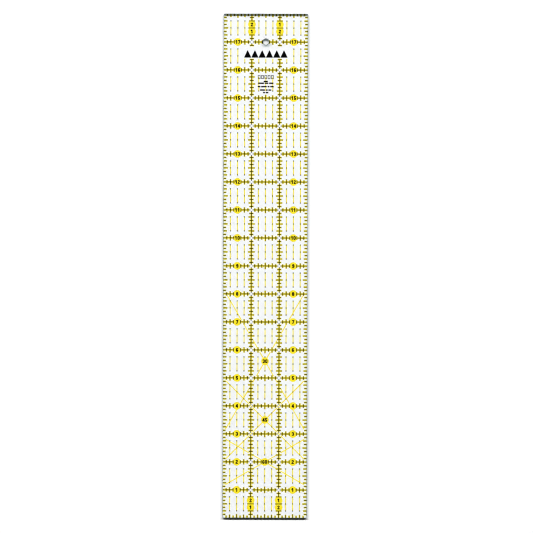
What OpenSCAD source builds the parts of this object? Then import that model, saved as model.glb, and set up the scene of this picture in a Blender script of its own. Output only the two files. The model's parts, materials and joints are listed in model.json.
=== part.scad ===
// Clear acrylic quilting ruler with a two-colour scale printed on its underside.
// It lies on its print: X across, Y along, Z up. Every mark belongs to one of two
// thin coats of screen ink, a black coat against the acrylic and a yellow coat under it.

/* [Blade] */
// Width of the acrylic blade
blade_w = 76.2; // [50.8:0.1:152.4]
// Length of the acrylic blade
blade_l = 457.2; // [304.8:0.1:609.6]
// Thickness of the acrylic sheet
blade_t = 3; // [2:0.1:6]
// Radius of the four corners, seen from above
corner_r = 0.8; // [0.2:0.1:2.5]
// Diameter of the hanging hole
hole_d = 5.6; // [3:0.1:6]
// Distance of the hanging hole from the top end of the scale
hole_from_top = 25.4; // [25.4:25.4:50.8]

/* [Ink] */
// Thickness of one coat of ink
coat_t = 0.025; // [0.01:0.005:0.1]
// Width of a black line
black_w = 0.55; // [0.2:0.05:0.8]
// Width of the yellow band behind a black line
band_w = 1.5; // [0.9:0.05:2]
// Width of a line printed in yellow alone
thin_w = 0.75; // [0.3:0.05:1]
// Diameter of the dots on the quarter-inch grid
dot_d = 0.95; // [0.4:0.05:1.2]
// Radius left free of black where two inch lines would cross
crossing_r = 0.95; // [0.6:0.05:1.6]
// Radius left free of yellow where two inch lines would cross
clear_r = 2; // [1.2:0.05:2.1]

/* [Ticks] */
// Ticks along both long edges, for an eighth, a quarter and a half inch
edge_ticks = [2.5, 3.2, 3.9]; // [1:0.1:6]
// Ticks along both short ends, for an eighth, a quarter and a half inch
end_ticks = [2.1, 2.9, 3.4]; // [1:0.1:6]
// Ticks to each side of an inch line, for an eighth, a quarter and a half inch
line_ticks = [1.55, 2.4, 3.0]; // [1:0.05:3.2]
// Ticks to each side of a column line, for an eighth, a quarter and a half inch
column_ticks = [1.85, 2.65, 3.1]; // [1:0.05:3.2]

/* [Numbers] */
// Diameter of the yellow spot behind a number
spot_d = 6.9; // [5:0.1:7.2]
// Height of a digit
digit_h = 3.3; // [2.5:0.1:3.6]
// Width of the strokes of a digit
stroke_w = 0.75; // [0.35:0.05:0.9]
// Gap between two digits
digit_gap = 0.3; // [0.2:0.05:0.6]

/* [Angle lines] */
// Height of the crossing of the 60 degree lines above the bottom end
cross_60_y = 50.8; // [50.8:25.4:76.2]
// Height at which the 45 degree lines start on the long edges
start_45_y = 50.8; // [50.8:25.4:76.2]
// Height at which the 30 degree lines start on the long edges
start_30_y = 76.2; // [76.2:25.4:101.6]
// Gap left to each side where an angle line meets a line of the grid
angle_gap = 1.7; // [1:0.1:3]
// Length of the short stub of an angle line inside a crossing, along the grid
crossing_stub = 2.6; // [1:0.1:3.4]

/* [Badge and care print] */
// Distance of the patchwork badge from the top end of the scale
badge_from_top = 36.2; // [35:0.1:40]
// Height of the patchwork badge
badge_h = 6.6; // [4:0.1:7]
// Distance from one triangle of the badge to the next
badge_pitch = 6.6; // [4:0.1:8]
// Number of triangles in the badge
badge_units = 6; // [3:1:7]
// Distance of the heading of the care print from the top end of the scale
heading_from_top = 57.2; // [56:0.1:60]
// Width of the heading
heading_w = 14.1; // [8:0.1:16]
// Height of the heading
heading_h = 3.3; // [2:0.1:4]
// Thickness of the plain bars that stand for words of care print
care_h = 1.1; // [0.5:0.05:1.3]

/* [Hidden] */

$fn = 48;
YELLOW = [0.93, 0.86, 0.16];
BLACK = [0.07, 0.07, 0.07];

// The scale is in whole inches from the bottom left corner, whatever the blade measures.
inch = 25.4;
eighth = inch / 8;
cols = floor(blade_w / inch + 0.001);
rows = floor(blade_l / inch + 0.001);
scale_w = cols * inch;
scale_l = rows * inch;
middle = scale_w / 2;
black_z = coat_t;
blade_z = 2 * coat_t;

// Places of the numbers, the hole and the angle labels on the scale
end_spots = [3 * eighth, 5 * eighth];
hole_at = [middle, scale_l - hole_from_top];
at_60 = [middle, cross_60_y];
at_45 = [middle, start_45_y + middle];
at_30 = [middle, start_30_y + middle * tan(60)];
angle_labels = [[at_30, 30], [at_45, 45], [at_60, 60]];
inch_spots = [for (n = [1:rows - 1], x = [inch / 2, scale_w - inch / 2]) [x, n * inch]];
column_spots = [for (c = [1:cols - 1], y = end_spots, up = [0, 1])
    [c * inch, up == 0 ? y : scale_l - y]];
all_spots = concat(inch_spots, column_spots, [for (label = angle_labels) label[0]]);

// The badge, in a box that other marks keep out of
badge_w = badge_units * badge_pitch;
badge_at = [middle, scale_l - badge_from_top];
badge_margin = 1.2;

// Each row of care print: its distance below the heading, then the lengths of its bars
care_rows = [
    [4.0, [3.6]],
    [5.6, [5.2, 3.2, 3.8]],
    [8.7, [2.2, 5.0, 1.6, 3.0]],
    [11.8, [4.4, 1.6, 2.6]],
    [14.1, [1.6, 2.2]]
];
care_gap = 0.8;
care_margin = 0.1;
heading_boxes = 5;
heading_line = 0.4;
heading_y = scale_l - heading_from_top;

function sum(list, i = 0) = i < len(list) ? list[i] + sum(list, i + 1) : 0;
function row_w(row) = sum(row[1]) + care_gap * (len(row[1]) - 1);
care_boxes = concat(
    [[heading_y, heading_w, heading_h]],
    [for (row = care_rows) [heading_y - row[0], row_w(row), care_h]]
);

// How long a tick is: 0 for an eighth, 1 for a quarter, 2 for a half inch
function rank(k) = k % 4 == 0 ? 2 : k % 2 == 0 ? 1 : 0;
// A spot's number keeps out the marks that are less than an eighth from its middle
number_r = 0.99 * eighth;
function in_spot(p) = len([for (s = all_spots) if (norm(p - s) < number_r) 1]) > 0;
function in_hole(p) = norm(p - hole_at) < hole_d / 2;
function in_badge(p) = abs(p.x - badge_at.x) < badge_w / 2 + badge_margin
    && abs(p.y - badge_at.y) < badge_h / 2 + badge_margin;
function free(p) = !in_spot(p) && !in_hole(p) && !in_badge(p);
function in_care_print(p) = len([for (box = care_boxes)
    if (abs(p.x - middle) < (box[1] + dot_d) / 2 + care_margin
        && abs(p.y - box[0]) < (box[2] + dot_d) / 2 + care_margin) 1]) > 0;

// Ends of each unbroken run in a rising list of whole numbers
function has(list, k) = len(search(k, list)) > 0;
function runs(list) = let (
    firsts = [for (k = list) if (!has(list, k - 1)) k],
    lasts = [for (k = list) if (!has(list, k + 1)) k]
) [for (i = [0:1:len(firsts) - 1]) [firsts[i], lasts[i]]];

// Puts the scale's bottom left corner on the blade's, and gives a coat its thickness
module coat(colour, z) {
    color(colour)
        translate([-blade_w / 2, -blade_l / 2, z])
            linear_extrude(coat_t)
                children();
}

module yellow_coat() {
    coat(YELLOW, 0) children();
}

module black_coat() {
    coat(BLACK, black_z) children();
}

module bar(centre, size) {
    translate(centre) square(size, center = true);
}

// Marks along a line of the grid. place turns a distance along the line into a point,
// so one module serves both directions: along X when flat is true, along Y when not.
module ruled_line(flat, across, count, ticks, w, clear) {
    place = function (s) flat ? [s, across] : [across, s];
    last = count * 8;
    kept = [for (k = [1:last - 1]) if (k % 8 != 0 && free(place(k * eighth))) k];
    for (run = runs(kept)) {
        opens = run[0] == 1;
        closes = run[1] == last - 1;
        from_crossing = !opens && run[0] % 8 == 1;
        to_crossing = !closes && run[1] % 8 == 7;
        a = opens ? 0
            : from_crossing ? (run[0] - 1) * eighth + clear
            : run[0] * eighth - w / 2;
        b = closes ? last * eighth
            : to_crossing ? (run[1] + 1) * eighth - clear
            : run[1] * eighth + w / 2;
        bar(place((a + b) / 2), flat ? [b - a, w] : [w, b - a]);
    }
    for (k = kept) {
        reach = 2 * ticks[rank(k)];
        bar(place(k * eighth), flat ? [w, reach] : [reach, w]);
    }
}

module inch_lines(w, clear) {
    for (n = [1:rows - 1])
        ruled_line(true, n * inch, cols, line_ticks, w, clear);
}

module column_lines(w, clear) {
    for (c = [1:cols - 1])
        ruled_line(false, c * inch, rows, column_ticks, w, clear);
}

// Ticks along the left edge; side 1 mirrors them onto the right edge of the scale
module edge_marks(side, w) {
    for (k = [1:rows * 8 - 1]) {
        reach = edge_ticks[rank(k)];
        if (k % 8 != 0)
            translate([side * (scale_w - reach), k * eighth - w / 2])
                square([reach, w]);
    }
}

// Ticks along the bottom end; side 1 puts them along the top end of the scale
module end_marks(side, w) {
    for (k = [1:cols * 8 - 1]) {
        reach = end_ticks[rank(k)];
        if (k % 8 != 0)
            translate([k * eighth - w / 2, side * (scale_l - reach)])
                square([w, reach]);
    }
}

module spots(places) {
    for (p = places)
        translate(p) circle(d = spot_d);
}

module hole() {
    translate(hole_at) circle(d = hole_d);
}

module bands() {
    inch_lines(band_w, clear_r);
    column_lines(band_w, clear_r);
}

// Columns of the quarter-inch grid, as quarters of an inch from the left edge
quarter_columns = [for (q = [1:cols * 4 - 1]) if (q % 4 != 0) q];

module quarter_dots() {
    for (q = quarter_columns, n = [0:rows - 1], j = [1:3]) {
        p = [q * inch / 4, n * inch + j * inch / 4];
        if (free(p) && !in_care_print(p))
            translate(p) circle(d = dot_d, $fn = 16);
    }
}

// Each dash joins the three dots of one inch and passes under the middle one
module quarter_dashes() {
    for (q = quarter_columns, n = [0:rows - 1])
        bar([q * inch / 4, (n + 0.5) * inch], [thin_w, inch / 2]);
}

// Two mirrored lines that cross at one point of the middle line. lean is their angle
// from the ends of the ruler, which the label gives from its long edges.
module crossed_lines(at, lean, w) {
    for (side = [-1, 1])
        translate(at)
            rotate(side * lean)
                square([(scale_w - 2 * edge_ticks[0]) / cos(lean), w], center = true);
}

// Strips along the grid, kept clear of the angle lines
module grid_gaps() {
    for (n = [1:rows - 1])
        bar([middle, n * inch], [scale_w, 2 * angle_gap]);
    for (c = [1:cols - 1])
        bar([c * inch, scale_l / 2], [2 * angle_gap, scale_l]);
}

// Where an angle line shows inside those strips all the same: as a short stub in the clear
// middle of a crossing, and next to its own label, so that it always reaches the label
module gap_islands(label) {
    for (c = [1:cols - 1], n = [1:rows - 1])
        bar([c, n] * inch, [crossing_stub, crossing_stub]);
    translate(label) circle(d = spot_d + 2 * angle_gap);
}

module angle_lines(at, lean) {
    difference() {
        crossed_lines(at, lean, thin_w);
        difference() {
            grid_gaps();
            gap_islands(at);
        }
        bands();
        edge_marks(0, band_w);
        edge_marks(1, band_w);
        spots(all_spots);
    }
}

module all_crossed_lines(w) {
    crossed_lines(at_30, 60, w);
    crossed_lines(at_45, 45, w);
    crossed_lines(at_60, 30, w);
}

// Digits are plain strokes in a box digit_w by digit_h: rings, bars and slants
digit_w = (digit_h + stroke_w) / 2;
ring_r = digit_w / 2;
low_ring_y = ring_r;
high_ring_y = digit_h - ring_r;
// How far a cut reaches past the stroke that it trims
past = 0.1;

module stadium(w, h) {
    translate([w / 2, w / 2]) circle(d = w);
    translate([w / 2, h - w / 2]) circle(d = w);
    translate([0, w / 2]) square([w, h - w]);
}

module oval_ring() {
    difference() {
        stadium(digit_w, digit_h);
        translate([stroke_w, stroke_w])
            stadium(digit_w - 2 * stroke_w, digit_h - 2 * stroke_w);
    }
}

module ring(y) {
    translate([ring_r, y])
        difference() {
            circle(r = ring_r);
            circle(r = ring_r - stroke_w);
        }
}

// A slanted stroke from a point at the top to a point at the bottom, both on its left side
module slant(top, bottom) {
    polygon([top, bottom, bottom + [stroke_w, 0], top + [stroke_w, 0]]);
}

module digit_1() {
    post = (digit_w - stroke_w) / 2 + past;
    flag = stroke_w;
    translate([post, 0]) square([stroke_w, digit_h]);
    polygon([
        [post, digit_h], [post - flag, digit_h - flag],
        [post - flag, digit_h - 2 * flag], [post, digit_h - 1.3 * flag]
    ]);
}

module digit_2() {
    difference() {
        ring(high_ring_y);
        translate([-past, 0]) square([digit_w + 2 * past, high_ring_y]);
    }
    slant([digit_w - stroke_w, high_ring_y], [0, stroke_w]);
    square([digit_w, stroke_w]);
}

module digit_3() {
    difference() {
        union() {
            ring(low_ring_y);
            ring(high_ring_y);
        }
        translate([-past, low_ring_y])
            square([ring_r, high_ring_y - low_ring_y]);
    }
}

module digit_4() {
    post = digit_w - 1.3 * stroke_w;
    shelf = digit_h / 5;
    inner_y = shelf + stroke_w;
    translate([post, 0]) square([stroke_w, digit_h]);
    difference() {
        polygon([
            [post, digit_h], [0, inner_y], [0, shelf],
            [digit_w, shelf], [digit_w, inner_y], [post, inner_y]
        ]);
        polygon([[post, digit_h - 2 * stroke_w], [post, inner_y], [stroke_w, inner_y]]);
    }
}

module digit_5() {
    back = digit_h - low_ring_y;
    difference() {
        ring(low_ring_y);
        translate([-past, low_ring_y - stroke_w / 3]) square([ring_r, ring_r - stroke_w / 2]);
    }
    translate([past, low_ring_y + past]) square([stroke_w, back - past]);
    translate([past, digit_h - stroke_w]) square([digit_w - 2 * past, stroke_w]);
}

module digit_6() {
    ring(low_ring_y);
    difference() {
        oval_ring();
        translate([-past, -past]) square([digit_w + 2 * past, low_ring_y + past]);
        translate([ring_r, 0]) square([digit_w, high_ring_y]);
    }
}

module digit_7() {
    translate([0, digit_h - stroke_w]) square([digit_w, stroke_w]);
    slant([digit_w - stroke_w, digit_h - stroke_w], [ring_r - stroke_w, 0]);
}

module digit_8() {
    ring(low_ring_y);
    ring(high_ring_y);
}

module digit(d) {
    translate([-digit_w / 2, -digit_h / 2]) {
        if (d == 0) oval_ring();
        if (d == 1) digit_1();
        if (d == 2) digit_2();
        if (d == 3) digit_3();
        if (d == 4) digit_4();
        if (d == 5) digit_5();
        if (d == 6) digit_6();
        if (d == 7) digit_7();
        if (d == 8) digit_8();
        if (d == 9) translate([digit_w, digit_h]) rotate(180) digit_6();
    }
}

module number(n, at) {
    shift = (digit_w + digit_gap) / 2;
    translate(at)
        if (n < 10) {
            digit(n);
        } else {
            translate([-shift, 0]) digit(floor(n / 10));
            translate([shift, 0]) digit(n % 10);
        }
}

module acrylic_blade() {
    round_w = blade_w - 2 * corner_r;
    round_l = blade_l - 2 * corner_r;
    color([0.86, 0.93, 0.92, 0.35])
        translate([0, 0, blade_z])
            linear_extrude(blade_t)
                difference() {
                    union() {
                        square([blade_w, round_l], center = true);
                        square([round_w, blade_l], center = true);
                        for (x = [-1, 1], y = [-1, 1])
                            translate([x * round_w / 2, y * round_l / 2])
                                circle(r = corner_r);
                    }
                    translate([-blade_w / 2, -blade_l / 2]) hole();
                }
}

module yellow_left_edge_ticks() {
    yellow_coat() edge_marks(0, band_w);
}

module yellow_right_edge_ticks() {
    yellow_coat() edge_marks(1, band_w);
}

module yellow_bottom_end_ticks() {
    yellow_coat() end_marks(0, band_w);
}

module yellow_top_end_ticks() {
    yellow_coat() end_marks(1, band_w);
}

module yellow_inch_bands() {
    yellow_coat()
        difference() {
            inch_lines(band_w, clear_r);
            spots(all_spots);
            hole();
        }
}

module yellow_column_bands() {
    yellow_coat()
        difference() {
            column_lines(band_w, clear_r);
            spots(all_spots);
            hole();
        }
}

module yellow_quarter_dashes() {
    yellow_coat()
        difference() {
            quarter_dashes();
            bar(badge_at, [badge_w, badge_h] + 2 * [badge_margin, badge_margin]);
            spots(all_spots);
            all_crossed_lines(thin_w);
            hole();
        }
}

module yellow_angle_30_lines() {
    yellow_coat()
        difference() {
            angle_lines(at_30, 60);
            crossed_lines(at_45, 45, thin_w);
        }
}

module yellow_angle_45_lines() {
    yellow_coat() angle_lines(at_45, 45);
}

module yellow_angle_60_lines() {
    yellow_coat()
        difference() {
            angle_lines(at_60, 30);
            crossed_lines(at_45, 45, thin_w);
        }
}

module yellow_inch_spots() {
    yellow_coat() spots(inch_spots);
}

module yellow_column_spots() {
    yellow_coat() spots(column_spots);
}

module yellow_angle_spots() {
    yellow_coat() spots([for (label = angle_labels) label[0]]);
}

module black_left_edge_ticks() {
    black_coat() edge_marks(0, black_w);
}

module black_right_edge_ticks() {
    black_coat() edge_marks(1, black_w);
}

module black_bottom_end_ticks() {
    black_coat() end_marks(0, black_w);
}

module black_top_end_ticks() {
    black_coat() end_marks(1, black_w);
}

module black_inch_lines() {
    black_coat()
        difference() {
            inch_lines(black_w, crossing_r);
            hole();
        }
}

module black_column_lines() {
    black_coat()
        difference() {
            column_lines(black_w, crossing_r);
            hole();
        }
}

module black_quarter_dots() {
    black_coat() quarter_dots();
}

module black_inch_numbers() {
    black_coat()
        for (n = [1:rows - 1], x = [inch / 2, scale_w - inch / 2])
            number(n, [x, n * inch]);
}

// The lower number of each pair counts from the left edge, the upper from the right
module black_column_numbers() {
    black_coat()
        for (c = [1:cols - 1], y = [0, scale_l - inch]) {
            number(c, [c * inch, y + end_spots[0]]);
            number(cols - c, [c * inch, y + end_spots[1]]);
        }
}

module black_angle_numbers() {
    black_coat()
        for (label = angle_labels)
            number(label[1], label[0]);
}

// A row of plain triangles, like a border pieced from patchwork
module black_patchwork_badge() {
    base = badge_pitch - digit_gap;
    black_coat()
        for (i = [0:badge_units - 1])
            translate(badge_at + [(i + 0.5) * badge_pitch - badge_w / 2, 0])
                polygon([[-base / 2, -badge_h / 2], [base / 2, -badge_h / 2], [0, badge_h / 2]]);
}

// A heading of empty boxes over rows of plain bars, where a maker would print words
module black_care_bars() {
    box = [(heading_w + care_gap) / heading_boxes - care_gap, heading_h];
    black_coat() {
        for (i = [0:heading_boxes - 1])
            translate([middle + (i - (heading_boxes - 1) / 2) * (box.x + care_gap), heading_y])
                difference() {
                    square(box, center = true);
                    square(box - 2 * [heading_line, heading_line], center = true);
                }
        for (row = care_rows, i = [0:len(row[1]) - 1]) {
            before = sum([for (k = [0:1:i - 1]) row[1][k] + care_gap]);
            bar(
                [middle - row_w(row) / 2 + before + row[1][i] / 2, heading_y - row[0]],
                [row[1][i], care_h]
            );
        }
    }
}

acrylic_blade();
yellow_left_edge_ticks();
yellow_right_edge_ticks();
yellow_bottom_end_ticks();
yellow_top_end_ticks();
yellow_inch_bands();
yellow_column_bands();
yellow_quarter_dashes();
yellow_angle_30_lines();
yellow_angle_45_lines();
yellow_angle_60_lines();
yellow_inch_spots();
yellow_column_spots();
yellow_angle_spots();
black_left_edge_ticks();
black_right_edge_ticks();
black_bottom_end_ticks();
black_top_end_ticks();
black_inch_lines();
black_column_lines();
black_quarter_dots();
black_inch_numbers();
black_column_numbers();
black_angle_numbers();
black_patchwork_badge();
black_care_bars();
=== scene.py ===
# %% [markdown]
# # A clear quilting ruler
#
# The object is a see-through acrylic straightedge, 3 inches wide and 18 inches long, that a
# quilter lays over fabric while a rotary cutter runs along its edge. It has only three
# physical layers: one sheet of acrylic, and two coats of screen ink on its underside.
# A black coat goes straight onto the acrylic, and a yellow coat is printed over it, so that
# from above each black line has a yellow halo.
#
# The printed marks arrive ready made in the frame, one node for each family of marks. This
# lesson gives them inks that look printed, builds the acrylic sheet again with softened
# edges, and lights the whole so that a colourless sheet can be seen at all.

# %% Load the frame
import json
import math

import bmesh
import bpy
from mathutils import Euler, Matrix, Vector


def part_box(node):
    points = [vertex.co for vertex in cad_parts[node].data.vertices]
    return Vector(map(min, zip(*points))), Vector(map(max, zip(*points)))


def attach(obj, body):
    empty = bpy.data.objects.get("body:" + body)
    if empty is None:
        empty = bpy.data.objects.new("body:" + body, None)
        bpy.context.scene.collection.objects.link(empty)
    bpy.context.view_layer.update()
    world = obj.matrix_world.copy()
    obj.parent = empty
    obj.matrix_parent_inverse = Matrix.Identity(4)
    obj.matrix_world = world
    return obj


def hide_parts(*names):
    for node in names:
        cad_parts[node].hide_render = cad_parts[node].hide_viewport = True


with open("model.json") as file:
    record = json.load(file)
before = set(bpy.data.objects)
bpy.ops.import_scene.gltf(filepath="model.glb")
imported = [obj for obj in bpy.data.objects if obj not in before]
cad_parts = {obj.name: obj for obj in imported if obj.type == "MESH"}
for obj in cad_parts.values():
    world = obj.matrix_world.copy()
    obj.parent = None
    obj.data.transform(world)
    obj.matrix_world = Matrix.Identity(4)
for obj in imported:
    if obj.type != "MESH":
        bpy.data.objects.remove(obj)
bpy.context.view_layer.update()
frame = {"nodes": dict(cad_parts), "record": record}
MM = 0.001
scene = bpy.context.scene
print("nodes in the frame:", len(frame["nodes"]))

# %% [markdown]
# ## Where things are
#
# The frame knows the size and the place of every node, and the record knows where the
# hanging hole is. Reading both means that this lesson still fits when the ruler changes.

# %% Measure the sheet and the hole
sheet_low, sheet_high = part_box("acrylic_blade")
sheet_size = sheet_high - sheet_low
ink_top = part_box("black_inch_lines")[1].z
hang_hole = next(m for m in frame["record"]["mounts"] if m["name"] == "hang_hole")
hole_centre = Vector(hang_hole["pos_m"])
hole_radius = hang_hole["dims"]["r_mm"] * MM
print("sheet, mm:", [round(v / MM, 2) for v in sheet_size])
print("hole at, mm:", [round(v / MM, 2) for v in hole_centre], "radius", round(hole_radius / MM, 2))

# %% [markdown]
# ## The acrylic sheet
#
# A sheet cut by a router has square corners softened by a small radius, a hanging hole with
# its rim eased, and a fine chamfer all round so that it doesn't cut the hand. A cube with a
# boolean hole would give long thin faces that shade badly once they are bevelled. Instead
# the plan is drawn flat: a grid square with its four corners rounded, a small square window
# where the hole goes, and a ring of faces bridged from that window to the hole. The flat
# plan is then extruded, and every rim is bevelled at once.

# %% Sizes of the sheet's finish
CORNER_RADIUS = 0.8 * MM
CORNER_STEPS = 6
RIM_CHAMFER = 0.18 * MM
RIM_STEPS = 3
HOLE_SIDES = 64
WINDOW_HALF = 2 * hole_radius
PRINT_GAP = 0.01 * MM
FLAT_NORMAL = 0.999
SHARP_ANGLE = math.radians(30)
FINISHES = ["face", "guide", "end", "hole"]
sheet_bottom = ink_top + PRINT_GAP
print("acrylic, mm:", round((sheet_high.z - sheet_bottom) / MM, 3), "thick")


# %% Helper: keep a bmesh as a named piece
def keep_piece(bm, name):
    """Turns a bmesh into an object at the origin that rides on the ruler's only body."""
    bmesh.ops.recalc_face_normals(bm, faces=bm.faces)
    mesh = bpy.data.meshes.new(name)
    bm.to_mesh(mesh)
    bm.free()
    piece = bpy.data.objects.new(name, mesh)
    scene.collection.objects.link(piece)
    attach(piece, "root")
    print(name, "has", len(mesh.polygons), "faces")
    return piece


# %% Draw the plan of the sheet
def rounded_plan():
    """A flat rectangle the size of the sheet, with its four corners rounded."""
    bm = bmesh.new()
    bmesh.ops.create_grid(bm, x_segments=1, y_segments=1, size=0.5)
    bmesh.ops.scale(bm, verts=bm.verts, vec=(sheet_size.x, sheet_size.y, 1))
    centre = (sheet_low + sheet_high) / 2
    bmesh.ops.translate(bm, verts=bm.verts, vec=(centre.x, centre.y, sheet_bottom))
    bmesh.ops.bevel(
        bm, geom=bm.verts[:], affect="VERTICES", offset=CORNER_RADIUS,
        segments=CORNER_STEPS, profile=0.5, material=-1,
    )
    return bm


# %% Open a square window for the hole
def hole_distance(point):
    return (point.xy - hole_centre.xy).length


def cut_window(bm):
    """Cuts the plan along four lines round the hole and takes out the square between them."""
    for axis in (Vector((1, 0, 0)), Vector((0, 1, 0))):
        for side in (-1, 1):
            bmesh.ops.bisect_plane(
                bm, geom=bm.verts[:] + bm.edges[:] + bm.faces[:],
                plane_co=hole_centre + axis * side * WINDOW_HALF, plane_no=axis,
            )
    window = [f for f in bm.faces if hole_distance(f.calc_center_median()) < WINDOW_HALF]
    outline = [e for f in window for e in f.edges]
    bmesh.ops.delete(bm, geom=window, context="FACES_ONLY")
    return outline


# %% Join the window to the round rim of the hole
def on_window(edge):
    """An open edge of the window lies near the hole, and one of the plan's outline doesn't."""
    return edge.is_boundary and all(hole_distance(v.co) < 1.5 * WINDOW_HALF for v in edge.verts)


def add_hole(bm):
    """Bridges the window's square outline to a circle of the same number of edges."""
    outline = cut_window(bm)
    bmesh.ops.subdivide_edges(bm, edges=outline, cuts=HOLE_SIDES // 4 - 1)
    outline = [e for e in bm.edges if on_window(e)]
    rim = bmesh.ops.create_circle(bm, segments=HOLE_SIDES, radius=hole_radius)["verts"]
    eighth_turn = Euler((0, 0, math.pi / 4)).to_matrix()
    bmesh.ops.rotate(bm, verts=rim, cent=(0, 0, 0), matrix=eighth_turn)
    bmesh.ops.translate(bm, verts=rim, vec=(hole_centre.x, hole_centre.y, sheet_bottom))
    rim_edges = list({e for v in rim for e in v.link_edges})
    bmesh.ops.bridge_loops(bm, edges=outline + rim_edges)


# %% Give the plan its thickness and ease its rims
def is_rim(edge):
    """A rim is where a flat face of the sheet meets a wall."""
    flats = [abs(f.normal.z) > FLAT_NORMAL for f in edge.link_faces]
    return len(flats) == 2 and flats[0] != flats[1]


def build_sheet():
    bm = rounded_plan()
    add_hole(bm)
    top = bmesh.ops.extrude_face_region(bm, geom=bm.faces[:])["geom"]
    raised = [v for v in top if isinstance(v, bmesh.types.BMVert)]
    bmesh.ops.translate(bm, verts=raised, vec=(0, 0, sheet_high.z - sheet_bottom))
    bmesh.ops.recalc_face_normals(bm, faces=bm.faces)
    bmesh.ops.bevel(
        bm, geom=[e for e in bm.edges if is_rim(e)], affect="EDGES", offset=RIM_CHAMFER,
        segments=RIM_STEPS, profile=0.5, material=-1,
    )
    return bm


# %% Tell the finishes apart
def finish_of(face):
    """Tells the polished faces from the three kinds of wall by where a face lies."""
    middle = face.calc_center_median()
    if abs(face.normal.z) > FLAT_NORMAL:
        return "face"
    if hole_distance(middle) < WINDOW_HALF:
        return "hole"
    from_end = min(sheet_high.y - middle.y, middle.y - sheet_low.y)
    return "end" if from_end < CORNER_RADIUS / 2 else "guide"


# %% Build the sheet
sheet_bm = build_sheet()
for face in sheet_bm.faces:
    face.material_index = FINISHES.index(finish_of(face))
sheet = keep_piece(sheet_bm, "acrylic_sheet")
sheet.data.shade_smooth()
sheet.data.set_sharp_from_angle(angle=SHARP_ANGLE)
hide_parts("acrylic_blade")

# %% [markdown]
# ## A small kit for materials
#
# Every finish below is a handful of shader nodes. A few helpers keep them readable: they
# start and end a material, add a node and set its sockets, do one sum, mix two shaders, and
# make the noise that most patterns come from.


# %% Material helpers
def start_material(name):
    material = bpy.data.materials.new(name)
    material.use_nodes = True
    material.node_tree.nodes.clear()
    return material, material.node_tree


def end_material(tree, shader):
    add_node(tree, "ShaderNodeOutputMaterial", Surface=shader)


def add_node(tree, kind, **sockets):
    """Adds a shader node. A socket given a socket is linked to it, anything else is its value."""
    node = tree.nodes.new(kind)
    for name, value in sockets.items():
        plug(tree, node.inputs[name.replace("_", " ")], value)
    return node


def plug(tree, socket, value):
    if isinstance(value, bpy.types.NodeSocket):
        tree.links.new(value, socket)
    else:
        socket.default_value = value


def calculate(tree, operation, first, second):
    """One sum on two numbers, either of which may come from another node."""
    node = tree.nodes.new("ShaderNodeMath")
    node.operation = operation
    plug(tree, node.inputs[0], first)
    plug(tree, node.inputs[1], second)
    return node.outputs["Value"]


def mix_shaders(tree, share, first, second):
    """Mixes two shaders. The share is how much of the second one shows."""
    mix = add_node(tree, "ShaderNodeMixShader", Fac=share)
    plug(tree, mix.inputs[1], first.outputs["BSDF"])
    plug(tree, mix.inputs[2], second.outputs["BSDF"])
    return mix.outputs["Shader"]


# %% Helpers for patterns
def stretched_noise(tree, grains, detail=3.0, roughness=0.5):
    """Noise on the piece's own coordinates, with a number of grains per metre on each axis."""
    place = add_node(tree, "ShaderNodeTexCoord").outputs["Object"]
    fit = add_node(tree, "ShaderNodeMapping", Vector=place, Scale=grains)
    noise = add_node(
        tree, "ShaderNodeTexNoise", Vector=fit.outputs["Vector"], Scale=1.0,
        Detail=detail, Roughness=roughness,
    )
    return noise.outputs["Fac"]


def remap(tree, value, low, high, to_low, to_high):
    """Stretches a narrow band of a pattern over the range that a finish needs."""
    node = add_node(
        tree, "ShaderNodeMapRange", Value=value,
        From_Min=low, From_Max=high, To_Min=to_low, To_Max=to_high,
    )
    return node.outputs["Result"]


def two_tone(tree, pattern, first, second):
    """Turns a pattern into a colour between two. Each tone is a position and a colour."""
    ramp = add_node(tree, "ShaderNodeValToRGB", Fac=pattern)
    for stop, (position, colour) in zip(ramp.color_ramp.elements, (first, second)):
        stop.position = position
        stop.color = (*colour, 1)
    return ramp.outputs["Color"]


# %% [markdown]
# ## Clear acrylic faces
#
# Polished acrylic reflects about 4 % of the light straight on and far more at a glance,
# which is what a Fresnel node gives for its index of refraction, 1.49. The rest of the light
# goes straight through. A refracting shader would bend it by less than half a millimetre in
# a sheet this thin, at the price of grainy shadows, so the body is a transparent shader with
# a breath of blue-green. The surface is never perfect: cast sheet has a slow ripple, and a
# ruler that slides on a cutting mat has hairline scratches along its length. Only the outer
# side of a face reflects, or light would be mirrored twice on its way through the sheet.

# %% Make the acrylic faces
ACRYLIC_IOR = 1.49
BODY_TINT = (0.983, 0.986, 0.988, 1)
RIPPLE_GRAINS = (45, 30, 45)
SCRATCH_GRAINS = (5200, 130, 5200)
SCRATCH_STARTS, SCRATCH_FULL = 0.66, 0.72
POLISHED, SCRATCHED = 0.025, 0.16


def clear_acrylic_face():
    material, tree = start_material("clear_acrylic_face")
    ripple = stretched_noise(tree, RIPPLE_GRAINS, detail=1.0)
    scratches = stretched_noise(tree, SCRATCH_GRAINS, detail=2.0)
    hairlines = remap(tree, scratches, SCRATCH_STARTS, SCRATCH_FULL, POLISHED, SCRATCHED)
    bump = add_node(tree, "ShaderNodeBump", Height=ripple, Strength=0.25, Distance=0.2 * MM)
    waved = bump.outputs["Normal"]
    gloss = add_node(tree, "ShaderNodeBsdfGlossy", Roughness=hairlines, Normal=waved)
    through = add_node(tree, "ShaderNodeBsdfTransparent", Color=BODY_TINT)
    fresnel = add_node(tree, "ShaderNodeFresnel", IOR=ACRYLIC_IOR, Normal=waved)
    inner_side = add_node(tree, "ShaderNodeNewGeometry").outputs["Backfacing"]
    outer_side = calculate(tree, "SUBTRACT", 1.0, inner_side)
    mirrored = calculate(tree, "MULTIPLY", fresnel.outputs["Fac"], outer_side)
    end_material(tree, mix_shaders(tree, mirrored, through, gloss))
    return material


face_finish = clear_acrylic_face()
print("made", face_finish.name)

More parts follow.
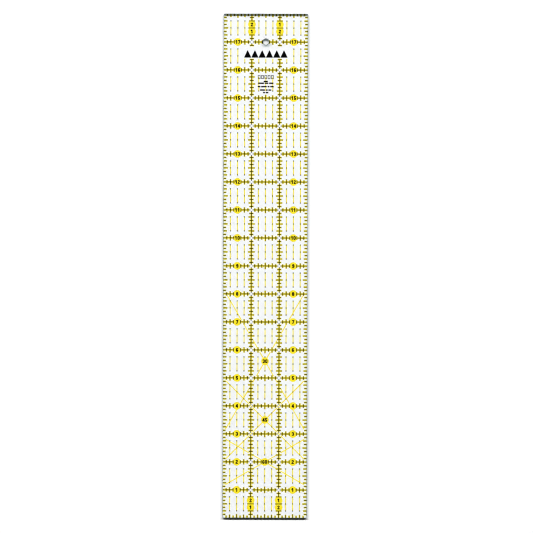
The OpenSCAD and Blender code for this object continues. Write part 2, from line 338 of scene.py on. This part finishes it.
# %% [markdown]
# ## Cut edges
#
# Looked at edge on, the same acrylic is a grey-green band: light that entered a face is
# trapped inside and leaves elsewhere, so a wall looks dark from outside and throws a dark
# line on the table. Light that comes in through a wall goes on down to the print instead.
# That trapped light is painted shade here: a wall gets its own material, a mix of a dark
# teal solid and clear, and is more solid on its outer side than on its inner side, so that
# its shadow falls outside the sheet and not under it. The ends are made most solid, which
# paints their crisp dark lines, the guide edges are nearly clear from inside, which leaves
# them a soft painted shade, and the hole wall lies between. The tool leaves fine lines
# across every wall, which show as a streaky gloss.

# %% Make the cut edges
# The teal is the acrylic's own tint seen edge on; the darkness of both tones is painted shade.
DARK_TEAL = (0.030, 0.055, 0.055)
PALE_TEAL = (0.075, 0.125, 0.125)
EDGE_TINT = (0.86, 0.95, 0.94, 1)
TOOL_GRAINS = (3500, 3500, 220)
DRIFT_GRAINS = (60, 60, 60)


def cut_edge(name, from_outside, from_inside, rough):
    """A wall of the sheet, whose dark teal and solidity paint shade. The two shares say how solid
    it is on its two sides.
    """
    material, tree = start_material(name)
    lines = stretched_noise(tree, TOOL_GRAINS, detail=2.0)
    drift = stretched_noise(tree, DRIFT_GRAINS, detail=2.0)
    bump = add_node(tree, "ShaderNodeBump", Height=lines, Strength=0.35, Distance=0.03 * MM)
    wall = add_node(
        tree, "ShaderNodeBsdfPrincipled", IOR=ACRYLIC_IOR, Normal=bump.outputs["Normal"],
        Base_Color=two_tone(tree, drift, (0.35, DARK_TEAL), (0.65, PALE_TEAL)),
        Roughness=remap(tree, lines, 0.3, 0.7, rough / 2, rough),
    )
    through = add_node(tree, "ShaderNodeBsdfTransparent", Color=EDGE_TINT)
    inner_side = add_node(tree, "ShaderNodeNewGeometry").outputs["Backfacing"]
    solidity = remap(tree, inner_side, 0, 1, from_outside, from_inside)
    end_material(tree, mix_shaders(tree, solidity, through, wall))
    return material


# %% Give the sheet its finishes
finishes = {
    "face": face_finish,
    # The ends are most solid and the guides clearest from inside, to paint the shade each leaves.
    "guide": cut_edge("guide_wall_painted_shade", from_outside=0.75, from_inside=0.06, rough=0.25),
    "end": cut_edge("end_wall_painted_shade", from_outside=0.99, from_inside=0.75, rough=0.45),
    "hole": cut_edge("hole_wall_painted_shade", from_outside=0.75, from_inside=0.4, rough=0.35),
}
for kind in FINISHES:
    sheet.data.materials.append(finishes[kind])
print("finishes of the sheet:", [m.name for m in sheet.data.materials])

# %% [markdown]
# ## Screen inks
#
# Screen ink is pushed through a woven mesh, so a coat is never quite even: the mesh leaves a
# fine weave of tiny dimples, and the squeegee leaves slow bands where the coat is thinner.
# Both inks share that recipe and differ in colour and gloss. The weave is two waves at right
# angles, one thread about every quarter of a millimetre. Ink that sticks to the back of the
# sheet has no air in front of it, so it hardly shines by itself: the acrylic does that.

# %% Make the inks
THREAD = 0.25 * MM
WAVE_PERIOD = 2 * math.pi / 20
SQUEEGEE_GRAINS = (700, 160, 700)
INK_SHINE = 0.12
YELLOW_THIN = (0.92, 0.79, 0.075)
YELLOW_THICK = (0.95, 0.85, 0.095)
BLACK_THIN = (0.012, 0.012, 0.013)
BLACK_THICK = (0.003, 0.003, 0.004)


def thread_waves(tree, direction):
    """A wave across the threads that run one way. The node's own period is WAVE_PERIOD."""
    place = add_node(tree, "ShaderNodeTexCoord").outputs["Object"]
    wave = add_node(tree, "ShaderNodeTexWave", Vector=place, Scale=WAVE_PERIOD / THREAD)
    wave.bands_direction = direction
    return wave.outputs["Fac"]


def screen_ink(name, thin, thick, gloss, matt):
    """A printed coat. A thick place shows the second colour and is the glossier one."""
    material, tree = start_material(name)
    weave = calculate(tree, "ADD", thread_waves(tree, "X"), thread_waves(tree, "Y"))
    coat = stretched_noise(tree, SQUEEGEE_GRAINS, detail=4.0, roughness=0.6)
    bump = add_node(tree, "ShaderNodeBump", Height=weave, Strength=0.3, Distance=0.01 * MM)
    ink = add_node(
        tree, "ShaderNodeBsdfPrincipled", Normal=bump.outputs["Normal"],
        Base_Color=two_tone(tree, coat, (0.3, thin), (0.7, thick)),
        Roughness=remap(tree, coat, 0.3, 0.7, matt, gloss), Specular_IOR_Level=INK_SHINE,
    )
    end_material(tree, ink.outputs["BSDF"])
    return material


yellow_ink = screen_ink("yellow_screen_ink", YELLOW_THIN, YELLOW_THICK, gloss=0.35, matt=0.5)
black_ink = screen_ink("black_screen_ink", BLACK_THIN, BLACK_THICK, gloss=0.3, matt=0.45)
print("made", yellow_ink.name, "and", black_ink.name)

# %% Ink every printed node
for name, mark in frame["nodes"].items():
    if name.startswith(("yellow", "black")):
        mark.data.materials.clear()
        mark.data.materials.append(yellow_ink if name.startswith("yellow") else black_ink)
print("inked nodes:", sum(name != "acrylic_blade" for name in frame["nodes"]))

# %% [markdown]
# ## The table
#
# A plain pale table lies just under the print. It runs far past the ruler, so that no other
# view finds its end.

# %% Lay the table
TABLE_HALF = 30.0
TABLE_DROP = 0.02 * MM
PALE_PAINT = (0.9, 0.9, 0.9, 1)

table_bm = bmesh.new()
bmesh.ops.create_grid(table_bm, x_segments=8, y_segments=8, size=TABLE_HALF)
bmesh.ops.translate(table_bm, verts=table_bm.verts, vec=(0, 0, -TABLE_DROP))
table_mesh = bpy.data.meshes.new("table")
table_bm.to_mesh(table_mesh)
table_bm.free()
table = bpy.data.objects.new("table", table_mesh)
scene.collection.objects.link(table)
pale, pale_tree = start_material("pale_table")
paint = add_node(
    pale_tree, "ShaderNodeBsdfPrincipled", Base_Color=PALE_PAINT, Roughness=0.9,
    Specular_IOR_Level=0.1,
)
end_material(pale_tree, paint.outputs["BSDF"])
table_mesh.materials.append(pale)
print("table, m:", 2 * TABLE_HALF, "square")

# %% [markdown]
# ## Light
#
# Clear things are seen by what they do to light, so the key is a long softbox across the
# ruler, tipped towards its top end. It is narrow along the ruler, which turns the two end
# walls into crisp dark lines, and very long across it, which leaves the long edges soft. A
# flat glossy sheet would mirror such a lamp as one white patch that hides the print, so the
# key makes no reflections, and a wide dim panel at the same place gives the sheet its sheen.

# %% Hang the softbox and the panel
LAMP_LEAN = math.radians(31)
LAMP_AWAY = 12.0
LAMP_ASIDE = -2.0


def hang_lamp(name, across, along, energy):
    """An area lamp that leans towards the ruler's top end and faces the ruler."""
    data = bpy.data.lights.new(name, "AREA")
    data.shape = "RECTANGLE"
    data.size = across
    data.size_y = along
    data.energy = energy
    lamp = bpy.data.objects.new(name, data)
    scene.collection.objects.link(lamp)
    height = LAMP_AWAY * math.cos(LAMP_LEAN)
    lamp.location = (LAMP_ASIDE, LAMP_AWAY * math.sin(LAMP_LEAN), height)
    lamp.rotation_euler = (-LAMP_LEAN, 0, 0)
    return lamp


softbox = hang_lamp("softbox", across=24.0, along=1.5, energy=2710.0)
softbox.visible_glossy = False
panel = hang_lamp("sheen_panel", across=16.0, along=9.0, energy=110.0)
print("lamps:", softbox.name, "and", panel.name)

# %% [markdown]
# ## Studio walls
#
# Seen at a low angle, the sheet mirrors what stands round it. Pale walls that fade into a dim
# ceiling keep it bright at a glance, and leave the black ink black from above. The height of
# a direction is the Z of the world's own coordinates.

# %% Paint the walls and the ceiling
WALL_GLOW = 0.85
CEILING_GLOW = 0.05
WALL_TOP = 0.5

world = bpy.data.worlds.new("studio_walls")
world.use_nodes = True
sky = world.node_tree
sky.nodes.clear()
direction = add_node(sky, "ShaderNodeTexCoord").outputs["Generated"]
height = add_node(sky, "ShaderNodeSeparateXYZ", Vector=direction).outputs["Z"]
glow = remap(sky, height, 0, WALL_TOP, WALL_GLOW, CEILING_GLOW)
walls = add_node(sky, "ShaderNodeBackground", Color=(1, 1, 1, 1), Strength=glow)
add_node(sky, "ShaderNodeOutputWorld", Surface=walls.outputs["Background"])
scene.world = world
print("walls glow", WALL_GLOW, "and the ceiling", CEILING_GLOW)

# %% [markdown]
# ## Camera
#
# The camera hangs straight above the ruler. A long lens from far away keeps both ends the
# same size, the way a scanner or a copy stand would. The ruler lies a hair off the middle of
# the view and a hair askew, as if it was laid down by hand.

# %% Hang the camera
VIEW_ACROSS = 483.6 * MM
LENS = 200.0
SENSOR = 36.0
CAMERA_ASIDE = 1.14 * MM
CAMERA_ALONG = -0.48 * MM
CAMERA_ROLL = math.radians(0.16)

camera_data = bpy.data.cameras.new("overhead")
camera_data.lens = LENS
camera_data.sensor_width = SENSOR
camera_data.clip_start = 0.1
camera_data.clip_end = 100.0
camera = bpy.data.objects.new("overhead", camera_data)
scene.collection.objects.link(camera)
camera.location = (CAMERA_ASIDE, CAMERA_ALONG, VIEW_ACROSS * LENS / SENSOR)
camera.rotation_euler = (0, 0, CAMERA_ROLL)
scene.camera = camera
print("camera height, m:", round(camera.location.z, 3))

# %% [markdown]
# ## Tones
#
# A picture of fine print wants crisp tones. A gamma under 1 leaves white alone and darkens
# what lies between, so that thin lines stay strong when they are seen small, and a picture
# filter a little narrower than usual keeps the digits crisp.

# %% Set the tones
PRINT_CONTRAST = 0.65
FILTER_WIDTH = 1.25

scene.view_settings.view_transform = "Standard"
scene.view_settings.gamma = PRINT_CONTRAST
scene.cycles.filter_width = FILTER_WIDTH
print("gamma", PRINT_CONTRAST, "and filter width", FILTER_WIDTH)
